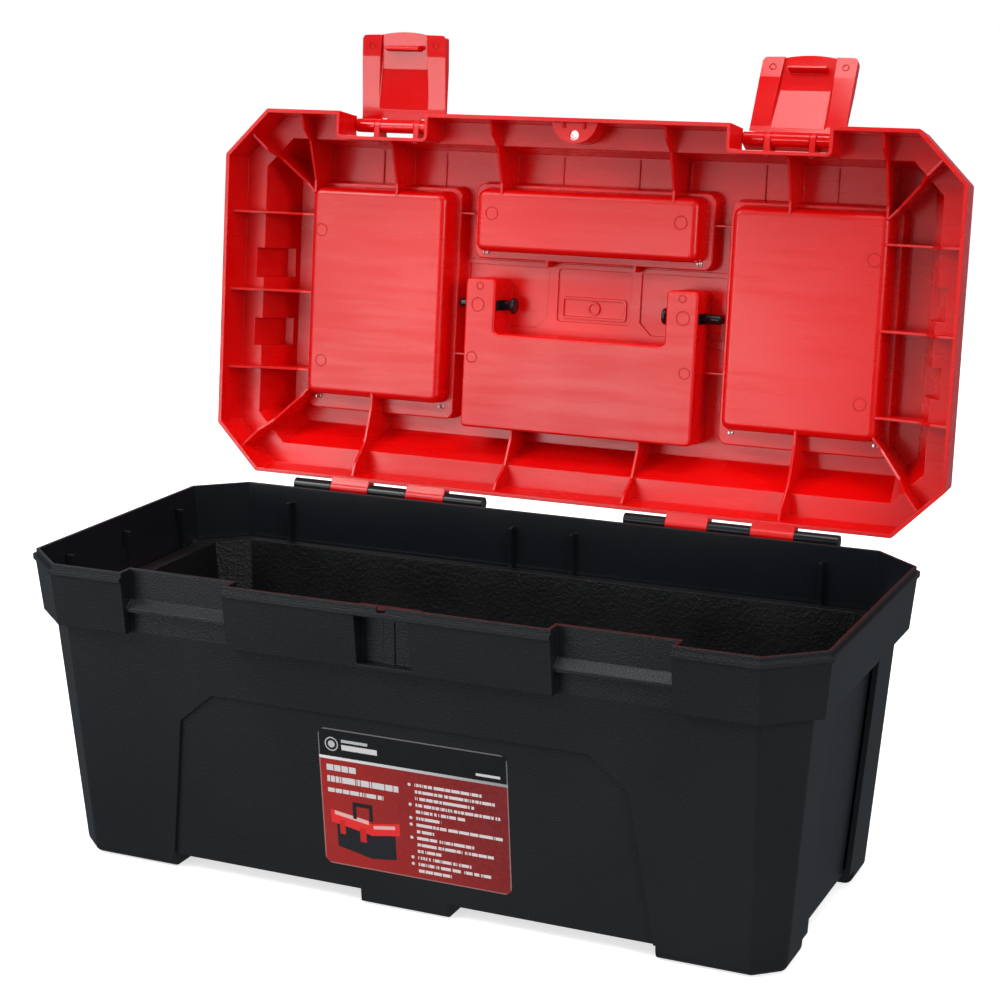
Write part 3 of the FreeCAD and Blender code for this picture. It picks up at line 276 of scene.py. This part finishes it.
def black_tub_material():
    r = Recipe("black_grained_plastic")
    xyz = r.add("SeparateXYZ", Vector=r.place)
    flat_place = r.add("VectorMath", {"operation": "MULTIPLY"})
    r.feed(flat_place.inputs[0], r.place)
    flat_place.inputs[1].default_value = outward_weights
    facing = r.add("VectorMath", {"operation": "DOT_PRODUCT"})
    r.feed(facing.inputs[0], flat_place.outputs[0])
    r.feed(facing.inputs[1], r.add("NewGeometry").outputs["Normal"])
    inward = r.math("LESS_THAN", facing.outputs["Value"], inward_limit)
    high = r.math("GREATER_THAN", xyz.outputs["Z"], polished_band_bottom)
    polished_and_painted_sheen = r.both(inward, high)
    pebbles = r.cells(1150.0, "SMOOTH_F1")
    dust = r.noise(2300.0, 3.0)
    cloud = r.noise(7.0, 3.0)
    tone = r.blend(r.ramp(cloud, 0.35, 0.7),
                   colour(0.0072, 0.0078, 0.0090), colour(0.0105, 0.0113, 0.0130))
    tone = r.blend(r.ramp(dust, 0.60, 0.78, 0.0, 0.5), tone, colour(0.020, 0.021, 0.024))
    # the band's colour turns darker and bluer here; the blue tint is a painted bluish sheen
    tone = r.blend(r.both(polished_and_painted_sheen, 0.6), tone, colour(0.0058, 0.0068, 0.0092))
    rough = r.ramp(polished_and_painted_sheen, 0.0, 1.0, 0.44, 0.17)
    rough = r.math("ADD", rough, r.ramp(cloud, 0.3, 0.7, -0.04, 0.05))
    soft = r.soft_edges(0.8 * MM)
    wave = r.bump(r.noise(12.0, 2.0), 0.8 * MM, soft, 0.35)
    grain = r.math("ADD", r.math("MULTIPLY", pebbles, 0.8), r.math("MULTIPLY", dust, 0.35))
    depth = r.ramp(polished_and_painted_sheen, 0.0, 1.0, 1.0, 0.04)
    normal = r.bump(r.math("MULTIPLY", grain, depth), 0.22 * MM, wave, 0.75)
    r.shade(Base_Color=tone, Roughness=rough, Normal=normal)
    r.shader.inputs["IOR"].default_value = 1.42
    return r.material


tub_black = black_tub_material()
print("made", tub_black.name)

# %% [markdown]
# ## Red polypropylene of the lid
# The lid is thin and lets a little light through, which is why its thin walls look
# brighter than its boxes. Subsurface scattering gives that glow. Long slow waves in
# the surface are the sink marks of the moulding, and faint streaks are flow marks.


# %% Lid material
def red_material(name, base, deep, rough_low, rough_high):
    r = Recipe(name)
    cloud = r.noise(6.0, 0.0)
    streaked = r.add("VectorMath", {"operation": "MULTIPLY"})
    r.feed(streaked.inputs[0], r.place)
    streaked.inputs[1].default_value = (0.5, 2.5, 6.0)
    streak = r.noise(26.0, 4.0, streaked.outputs[0], 0.55)
    patch = r.noise(9.0, 2.0)
    dust = r.noise(2600.0, 2.0)
    tone = r.blend(r.ramp(cloud, 0.25, 0.75, smooth=True), deep, base)
    worn = r.math("ADD", r.math("MULTIPLY", streak, 0.45), r.math("MULTIPLY", patch, 0.55))
    rough = r.ramp(worn, 0.36, 0.64, rough_low, rough_high, smooth=True)
    soft = r.soft_edges(0.7 * MM)
    wave = r.bump(r.noise(8.0, 0.0), 1.2 * MM, soft, 0.30)
    ripple = r.bump(streak, 0.05 * MM, wave, 0.35)
    normal = r.bump(dust, 0.02 * MM, ripple, 0.4)
    r.shade(Base_Color=tone, Roughness=rough, Normal=normal)
    shader = r.shader.inputs
    shader["IOR"].default_value = 1.47
    shader["Subsurface Weight"].default_value = 0.30
    shader["Subsurface Radius"].default_value = (1.0, 0.05, 0.04)
    shader["Subsurface Scale"].default_value = 5 * MM
    return r.material


lid_red = red_material("red_lid_plastic", colour(0.74, 0.0012, 0.0014),
                       colour(0.62, 0.0009, 0.0010), 0.22, 0.36)
latch_red = red_material("red_latch_plastic", colour(0.66, 0.0008, 0.0009),
                         colour(0.56, 0.0006, 0.0007), 0.07, 0.15)
print("made", lid_red.name, "and", latch_red.name)


# %% Plain black for handle, pins and tray
def smooth_black(name, base, rough_low, rough_high, grain_scale, grain_depth, gloss=0.5):
    r = Recipe(name)
    cloud = r.noise(22.0, 3.0)
    pebbles = r.math("MULTIPLY", r.cells(grain_scale * 0.6, "SMOOTH_F1"), 0.7)
    grain = r.math("ADD", r.noise(grain_scale, 4.0), pebbles)
    tone = r.blend(r.ramp(cloud, 0.3, 0.7), base, colour(*(c * 1.5 for c in base[:3])))
    wave = r.bump(cloud, 0.5 * MM, r.soft_edges(0.6 * MM), 0.2)
    normal = r.bump(grain, grain_depth, wave, 0.6)
    rough = r.ramp(cloud, 0.3, 0.7, rough_low, rough_high)
    r.shade(Base_Color=tone, Roughness=rough, Normal=normal)
    r.shader.inputs["IOR"].default_value = 1.46
    r.shader.inputs["Specular IOR Level"].default_value = gloss
    return r.material


handle_black = smooth_black("black_handle_plastic", colour(0.0085, 0.009, 0.010),
                            0.36, 0.48, 1300.0, 0.10 * MM)
pin_black = smooth_black("black_pin_plastic", colour(0.0070, 0.0070, 0.0085),
                         0.18, 0.30, 2200.0, 0.02 * MM)
# The tray's base colour is darker than the handle's and the pins': the extra darkness is painted shade
# for the deep inside of the tub.
tray_black_with_painted_shade = smooth_black("black_tray_plastic_painted_shade", colour(0.0030, 0.0032, 0.0036),
                          0.36, 0.50, 700.0, 0.60 * MM, 0.40)
print("three more blacks")

# %% [markdown]
# ## Clear covers
# The covers are clear polycarbonate. A real cover is never perfectly clear: it has a
# slight smoky tint, faint ripples from the mould and rubbed patches that are rougher.


# %% Clear plastic
def clear_material():
    r = Recipe("clear_plastic")
    rubbed = r.noise(26.0, 5.0)
    wave = r.bump(r.noise(18.0, 1.0), 0.5 * MM, r.soft_edges(0.4 * MM), 0.3)
    tint = r.blend(r.ramp(rubbed, 0.3, 0.75), colour(0.95, 0.97, 0.98), colour(0.90, 0.93, 0.95))
    r.shade(Base_Color=tint, Roughness=r.ramp(rubbed, 0.45, 0.75, 0.03, 0.14), Normal=wave)
    r.shader.inputs["Transmission Weight"].default_value = 1.0
    r.shader.inputs["IOR"].default_value = 1.49
    return r.material


clear = clear_material()
print("made", clear.name)

# %% [markdown]
# ## The printed label
# The label is a glossy film with a dark band over a red field, and a silver line
# between them. Its print is only generic shapes: bars stand where lines of words
# would be, and a simple drawing of a box fills the corner. The recipe works in the
# label's own millimetres, measured from its lower left corner, so each shape is a
# plain rectangle or slanted edge. The cut edge of the film shows as a paler rim.


# %% Label material
label_low, label_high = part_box("label")
label_width = (label_high.x - label_low.x) / MM
label_height = (label_high.z - label_low.z) / MM
pieces_per_mm = 1.9    # how finely the bars are broken
share_of_gaps = 0.17
print("label", round(label_width, 1), "by", round(label_height, 1), "mm")


class Print:
    """Places flat shapes on the label, in millimetres from its lower left corner."""

    def __init__(self, recipe):
        self.r = recipe
        shift = recipe.add("Mapping", {"vector_type": "POINT"}, Vector=recipe.place)
        shift.inputs["Location"].default_value = (-label_low.x / MM, 0, -label_low.z / MM)
        shift.inputs["Scale"].default_value = (1 / MM, 1 / MM, 1 / MM)
        parts = recipe.add("SeparateXYZ", Vector=shift.outputs[0])
        self.x, self.z = parts.outputs["X"], parts.outputs["Z"]

    def box(self, x0, x1, z0, z1):
        """An upright rectangle."""
        return self.r.both(self.r.within(self.x, x0, x1), self.r.within(self.z, z0, z1))

    def sloped(self, x0, x1, z0, z1, slope):
        """A rectangle whose level sides climb by slope mm for each mm to the right."""
        r = self.r
        climb = r.math("MULTIPLY", r.math("SUBTRACT", self.x, x0), slope)
        z = r.math("SUBTRACT", self.z, climb)
        return r.both(r.within(self.x, x0, x1), r.within(z, z0, z1))

    def dot(self, x, z, radius):
        """A disc about x, z."""
        r = self.r
        away = r.math("ADD", r.math("POWER", r.math("SUBTRACT", self.x, x), 2.0),
                      r.math("POWER", r.math("SUBTRACT", self.z, z), 2.0))
        return r.math("LESS_THAN", away, radius * radius)

    def bars(self, x0, widths, top, pitch, height):
        """Rows of bars, broken into pieces like words, one row for each width."""
        r = self.r
        row = r.math("FLOOR", r.math("DIVIDE", r.math("SUBTRACT", top, self.z), pitch))
        column = r.math("FLOOR", r.math("MULTIPLY", self.x, pieces_per_mm))
        piece = r.add("CombineXYZ", X=column, Y=row)
        chance = r.add("TexWhiteNoise", {"noise_dimensions": "2D"}, Vector=piece.outputs[0])
        printed = r.math("GREATER_THAN", chance.outputs["Value"], share_of_gaps)
        shapes = [self.box(x0, x0 + width, top - index * pitch - height, top - index * pitch)
                  for index, width in enumerate(widths)]
        return r.both(r.any(*shapes), printed)


row_pitch = 4.15       # of the small bars, in mm
row_widths = (42.0, 50.0, 37.0, 53.0, 31.0, 16.0, 54.0, 11.0, 36.0, 48.0, 15.0, 34.0, 46.0, 21.0)
marked_rows = (0, 3, 5, 6, 8, 11, 12)
band_bottom = 68.0
white = colour(0.66, 0.64, 0.64)
grey = colour(0.5, 0.5, 0.5)
pale_red = colour(0.80, 0.45, 0.42)


def label_material():
    r = Recipe("label_print")
    p = Print(r)
    share = r.ramp(p.x, 0.0, label_width)
    lower = r.ramp(p.z, 0.0, band_bottom)
    red = r.blend(r.ramp(r.math("ADD", share, r.math("MULTIPLY", lower, 0.25)), 0.2, 1.1),
                  colour(0.36, 0.018, 0.016), colour(0.18, 0.016, 0.018))
    speckle = r.ramp(r.noise(420.0, 5.0), 0.3, 0.75, 0.0, 0.35)
    red = r.blend(speckle, red, colour(0.42, 0.035, 0.028))
    ink = r.blend(r.math("GREATER_THAN", p.z, band_bottom), red, colour(0.0085, 0.0088, 0.0098))
    silver = r.blend(r.ramp(share, 0.0, 1.0), colour(0.80, 0.80, 0.80), colour(0.30, 0.30, 0.31))
    ink = r.blend(p.box(0, label_width, band_bottom - 1.1, band_bottom + 0.7), ink, silver)
    # a plain disc with a ring round it, and two bars beside it
    ring = r.math("SUBTRACT", p.dot(8.6, 76.4, 4.3), p.dot(8.6, 76.4, 3.6))
    ink = r.blend(r.any(ring, p.dot(8.6, 76.4, 2.2)), ink, grey)
    ink = r.blend(p.box(15.0, 38.0, 73.5, 76.8), ink, white)
    ink = r.blend(p.box(15.0, 32.0, 78.2, 80.0), ink, grey)
    ink = r.blend(p.box(100.0, 115.0, 71.2, 72.8), ink, white)
    # headline and the rows of bars
    ink = r.blend(p.bars(4.5, (19.0, 46.0), 63.5, 7.2, 3.8), ink, white)
    ink = r.blend(p.bars(4.5, (36.0,), 48.6, 5.0, 2.6), ink, white)
    ink = r.blend(p.bars(61.0, row_widths, 60.0, row_pitch, 1.9), ink, colour(0.72, 0.66, 0.66))
    marks = [p.dot(57.6, 59.0 - row_pitch * row, 1.0) for row in marked_rows]
    ink = r.blend(r.any(*marks), ink, white)
    # a simple picture of a box: body, lid, covers, handle and catches
    body = r.any(p.sloped(9.0, 31.0, 12.0, 27.5, -0.22), p.sloped(31.0, 47.0, 7.2, 22.5, 0.12))
    ink = r.blend(body, ink, colour(0.018, 0.019, 0.022))
    lid = r.any(p.sloped(5.5, 31.0, 27.0, 35.0, -0.18), p.sloped(31.0, 50.0, 22.0, 29.5, 0.16))
    ink = r.blend(lid, ink, colour(0.80, 0.03, 0.03))
    ink = r.blend(p.sloped(8.0, 30.0, 32.0, 34.5, -0.15), ink, pale_red)
    ink = r.blend(p.sloped(33.0, 47.0, 26.5, 28.6, 0.14), ink, pale_red)
    grip = r.any(p.box(20.0, 33.0, 39.0, 41.6),
                 p.box(20.0, 22.4, 31.0, 41.0),
                 p.box(30.6, 33.0, 31.0, 41.0))
    ink = r.blend(grip, ink, colour(0.016, 0.016, 0.018))
    catches = r.any(p.box(11.0, 14.5, 20.0, 29.0), p.box(24.0, 28.0, 17.0, 26.0))
    ink = r.blend(catches, ink, colour(0.62, 0.02, 0.02))
    edge = 0.7
    inside = p.box(edge, label_width - edge, edge, label_height - edge)
    rim = r.math("SUBTRACT", 1.0, inside)
    ink = r.blend(r.both(rim, 0.35), ink, colour(0.45, 0.42, 0.42))
    scuff = r.noise(60.0, 6.0, roughness=0.65)
    wave = r.bump(r.noise(24.0, 2.0), 0.35 * MM, strength=0.2)
    r.shade(Base_Color=ink, Roughness=r.ramp(scuff, 0.4, 0.8, 0.20, 0.42), Normal=wave)
    r.shader.inputs["IOR"].default_value = 1.45
    return r.material


label_print = label_material()
print("made", label_print.name)


# %% Give every moulding its plastic
def paint(node_name, material):
    for material_slot in nodes[node_name].material_slots:
        material_slot.material = material


finishes = {"tub": tub_black, "label": label_print, "tray": tray_black_with_painted_shade, "handle": handle_black,
            "lid": lid_red, "latch_pin_left": lid_red, "latch_pin_right": lid_red,
            "latch_left": latch_red, "latch_right": latch_red}
for name in nodes:
    plain = clear if name.startswith("cover") else pin_black
    paint(name, finishes.get(name, plain))
    print(name, "slots", len(nodes[name].material_slots))

# %% [markdown]
# ## Thumb ridges on the latches
# A latch is pulled open with a thumb, so its free end carries a few ridges outside.
# They are the same shape again and again, which is work for Geometry Nodes: one ridge
# is swept along a short line, thin at its ends, and set out in a row by count and
# pitch. The row is made on the closed latch and turned open with it.


# %% Ridge nodes
points_along = 15
points_round = 12
end_bluntness = 0.35   # below 1, the ridge keeps its width for most of its length
least_width = 0.05


def ridge_tree(material):
    """Geometry nodes that set out a row of ridges, along X, one above another."""
    tree = bpy.data.node_groups.new("thumb_ridges", "GeometryNodeTree")
    sockets = {}
    for name, kind in (("Count", "Int"), ("Pitch", "Float"), ("Length", "Float"), ("Radius", "Float")):
        socket = tree.interface.new_socket(name, in_out="INPUT", socket_type="NodeSocket" + kind)
        sockets[name] = socket.identifier
    tree.interface.new_socket("Geometry", in_out="OUTPUT", socket_type="NodeSocketGeometry")

    def add(kind, **settings):
        node = tree.nodes.new(kind)
        for key, value in settings.items():
            setattr(node, key, value)
        return node

    def join(a, b):
        tree.links.new(a, b)

    start, end = add("NodeGroupInput"), add("NodeGroupOutput")
    half = add("ShaderNodeMath", operation="MULTIPLY")
    half.inputs[1].default_value = 0.5
    join(start.outputs["Length"], half.inputs[0])
    minus = add("ShaderNodeMath", operation="MULTIPLY")
    minus.inputs[1].default_value = -0.5
    join(start.outputs["Length"], minus.inputs[0])
    left, right = add("ShaderNodeCombineXYZ"), add("ShaderNodeCombineXYZ")
    join(minus.outputs[0], left.inputs[0])
    join(half.outputs[0], right.inputs[0])
    line = add("GeometryNodeCurvePrimitiveLine")
    join(left.outputs[0], line.inputs["Start"])
    join(right.outputs[0], line.inputs["End"])
    points = add("GeometryNodeResampleCurve")
    points.inputs["Count"].default_value = points_along
    join(line.outputs[0], points.inputs["Curve"])
    along = add("GeometryNodeSplineParameter")
    swing = add("ShaderNodeMath", operation="MULTIPLY")
    swing.inputs[1].default_value = math.pi
    join(along.outputs["Factor"], swing.inputs[0])
    bulge = add("ShaderNodeMath", operation="SINE")
    join(swing.outputs[0], bulge.inputs[0])
    flat = add("ShaderNodeMath", operation="POWER")
    flat.inputs[1].default_value = end_bluntness
    join(bulge.outputs[0], flat.inputs[0])
    width = add("ShaderNodeMath", operation="MAXIMUM")
    width.inputs[1].default_value = least_width
    join(flat.outputs[0], width.inputs[0])
    radius = add("GeometryNodeCurvePrimitiveCircle")
    radius.inputs["Resolution"].default_value = points_round
    join(start.outputs["Radius"], radius.inputs["Radius"])
    sweep = add("GeometryNodeCurveToMesh")
    sweep.inputs["Fill Caps"].default_value = True
    join(points.outputs[0], sweep.inputs["Curve"])
    join(width.outputs[0], sweep.inputs["Scale"])
    join(radius.outputs["Curve"], sweep.inputs["Profile Curve"])
    step = add("ShaderNodeCombineXYZ")
    join(start.outputs["Pitch"], step.inputs[2])
    row = add("GeometryNodeMeshLine")
    join(start.outputs["Count"], row.inputs["Count"])
    join(step.outputs[0], row.inputs["Offset"])
    copies = add("GeometryNodeInstanceOnPoints")
    join(row.outputs[0], copies.inputs["Points"])
    join(sweep.outputs[0], copies.inputs["Instance"])
    real = add("GeometryNodeRealizeInstances")
    join(copies.outputs[0], real.inputs[0])
    paint_it = add("GeometryNodeSetMaterial")
    paint_it.inputs["Material"].default_value = material
    join(real.outputs[0], paint_it.inputs[0])
    join(paint_it.outputs[0], end.inputs[0])
    return tree, sockets


ridges, ridge_sockets = ridge_tree(latch_red)
print("ridge nodes:", len(ridges.nodes))


# %% Ridges on both latches
def about_x(place, degrees):
    """A turn about the line through place along X."""
    there = Matrix.Translation(place)
    return there @ Matrix.Rotation(math.radians(degrees), 4, "X") @ there.inverted()


lid_open_turn = -96.9
latch_open = {"left": 90.0, "right": 118.0}
latch_face_ahead = 7.9 * MM    # the latch's outer face before its pin
latch_bow = 1.6 * MM           # how far the free end curves back
latch_bow_run = 19 * MM
lowest_ridge_bow = 0.85        # share of the bow under the lowest ridge
lowest_ridge_drop = 56.5 * MM
ridge_sizes = {"Count": 7, "Pitch": 2.3 * MM, "Length": 40 * MM, "Radius": 0.75 * MM}


def latch_ridges(side):
    """Sweep one latch's ridges on the closed box, then turn them with latch and lid."""
    body = "latch_" + side
    pin_open = Vector(joints[body + "_hinge"]["pos_m"])
    hinge = Vector(joints["lid_hinge"]["pos_m"])
    lid_turn = about_x(hinge, lid_open_turn)
    pin_closed = lid_turn.inverted() @ pin_open
    low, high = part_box(body)
    centre = (low.x + high.x) / 2
    face = pin_closed.y - latch_face_ahead
    holder = bpy.data.objects.new("ridge_holder", bpy.data.meshes.new("ridge_holder"))
    bpy.context.scene.collection.objects.link(holder)
    modifier = holder.modifiers.new("ridges", "NODES")
    modifier.node_group = ridges
    for name, value in ridge_sizes.items():
        modifier[ridge_sockets[name]] = value
    evaluated = holder.evaluated_get(bpy.context.evaluated_depsgraph_get())
    mesh = bpy.data.meshes.new_from_object(evaluated)
    bpy.data.objects.remove(holder)
    lean = math.degrees(math.atan2(latch_bow, latch_bow_run))
    bottom = Vector((centre, face + latch_bow * lowest_ridge_bow, pin_closed.z - lowest_ridge_drop))
    turn_out = lid_turn @ about_x(pin_closed, -latch_open[side]) @ Matrix.Translation(bottom)
    mesh.transform(turn_out @ Matrix.Rotation(math.radians(lean), 4, "X"))
    piece = bpy.data.objects.new("thumb_ridges_" + side, mesh)
    bpy.context.scene.collection.objects.link(piece)
    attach(piece, body)
    print(piece.name, len(mesh.polygons), "faces")


for side in ("left", "right"):
    latch_ridges(side)

# %% [markdown]
